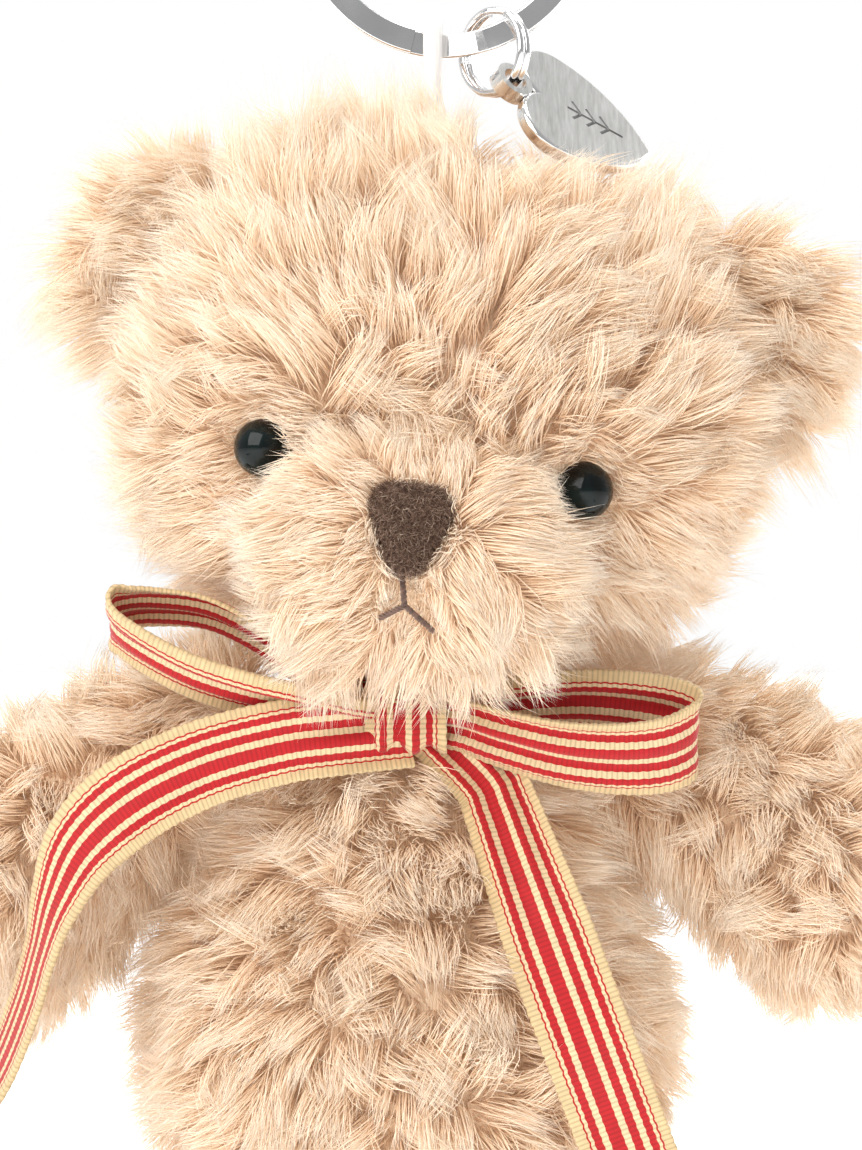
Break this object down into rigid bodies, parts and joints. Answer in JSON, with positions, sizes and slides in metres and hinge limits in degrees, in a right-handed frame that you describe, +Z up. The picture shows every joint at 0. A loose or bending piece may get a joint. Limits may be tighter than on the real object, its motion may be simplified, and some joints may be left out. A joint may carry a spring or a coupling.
{
  "type": "plush bear keychain",
  "caption": "shaggy plush bear hanging by a cord loop from a flat split key ring, with a heart charm and a striped ribbon bow",
  "frame": {"origin": "centre of the key ring, in the middle of its thickness, where a hook, bag ring or finger holds it", "axes": "+Z up as it hangs, the bear faces -Y, +X to the viewer's right; the key ring's axis is Y"},
  "size_m": [0.1261, 0.0663, 0.2158],
  "materials": {
    "cream_plush": "long shaggy pile, matte with a soft sheen",
    "fibre_filling": "loose polyester fibre",
    "brown_felt": "flocked felt",
    "brown_thread": "twisted thread",
    "black_eye": "glossy moulded",
    "washer_plastic": "moulded",
    "polished_steel": "polished nickel-plated steel",
    "brushed_charm": "brushed face with a polished rim",
    "white_cord": "satin cord",
    "striped_ribbon": "grosgrain, cream with red stripes"
  },
  "bodies": {
    "key_ring": {"key_ring": "polished_steel"},
    "split_ring": {"split_ring": "polished_steel"},
    "heart_charm": {"heart_charm": "brushed_charm"},
    "head": {"hanging_cord": "white_cord", "cord_knot": "white_cord", "head_plush": "cream_plush", "head_filling": "fibre_filling", "muzzle_plush": "cream_plush", "muzzle_filling": "fibre_filling", "nose": "brown_felt", "mouth_stitches": "brown_thread", "left_eye": "black_eye", "left_eye_washer": "washer_plastic", "left_ear_front": "cream_plush", "left_ear_back": "cream_plush", "right_eye": "black_eye", "right_eye_washer": "washer_plastic", "right_ear_front": "cream_plush", "right_ear_back": "cream_plush"},
    "torso": {"torso_plush": "cream_plush", "torso_filling": "fibre_filling", "ribbon_neck_band": "striped_ribbon", "ribbon_knot": "striped_ribbon", "ribbon_loop_left": "striped_ribbon", "ribbon_loop_right": "striped_ribbon", "ribbon_tail_left": "striped_ribbon", "ribbon_tail_right": "striped_ribbon"},
    "left_arm": {"left_arm_plush": "cream_plush", "left_arm_filling": "fibre_filling"},
    "left_leg": {"left_leg_plush": "cream_plush", "left_leg_filling": "fibre_filling"},
    "right_arm": {"right_arm_plush": "cream_plush", "right_arm_filling": "fibre_filling"},
    "right_leg": {"right_leg_plush": "cream_plush", "right_leg_filling": "fibre_filling"}
  },
  "joints": [
    {"name": "bear_swing", "type": "hinge", "parent": "key_ring", "child": "head", "pos_m": [-0.0015, 0, -0.01603], "axis": [1, 0, 0], "range_deg": [-18, 18]},
    {"name": "neck_turn", "type": "hinge", "parent": "head", "child": "torso", "pos_m": [-0.0045, 0, -0.088], "axis": [0, 0, 1], "range_deg": [-13, 12], "stiffness_Nm_per_rad": 0.02},
    {"name": "split_ring_swing", "type": "hinge", "parent": "key_ring", "child": "split_ring", "pos_m": [0.00508, 0, -0.01528], "axis": [0.9489, 0, 0.3156], "range_deg": [-10, 10]},
    {"name": "charm_swing", "type": "hinge", "parent": "split_ring", "child": "heart_charm", "pos_m": [0.00755, -0.00278, -0.02087], "axis": [0.569, -0.5892, 0.5736], "range_deg": [-3, 25]},
    {"name": "left_shoulder", "type": "hinge", "parent": "torso", "child": "left_arm", "pos_m": [-0.0274, 0, -0.0945], "axis": [0, 1, 0], "range_deg": [-5, 30], "stiffness_Nm_per_rad": 0.02},
    {"name": "right_shoulder", "type": "hinge", "parent": "torso", "child": "right_arm", "pos_m": [0.0184, 0, -0.0945], "axis": [0, 1, 0], "range_deg": [-30, 7], "stiffness_Nm_per_rad": 0.02},
    {"name": "left_hip", "type": "hinge", "parent": "torso", "child": "left_leg", "pos_m": [-0.019, 0, -0.157], "axis": [0.9945, 0, -0.1045], "range_deg": [-20, 15], "stiffness_Nm_per_rad": 0.02},
    {"name": "right_hip", "type": "hinge", "parent": "torso", "child": "right_leg", "pos_m": [0.01, 0, -0.157], "axis": [0.9945, 0, 0.1045], "range_deg": [-20, 15], "stiffness_Nm_per_rad": 0.02}
  ]
}
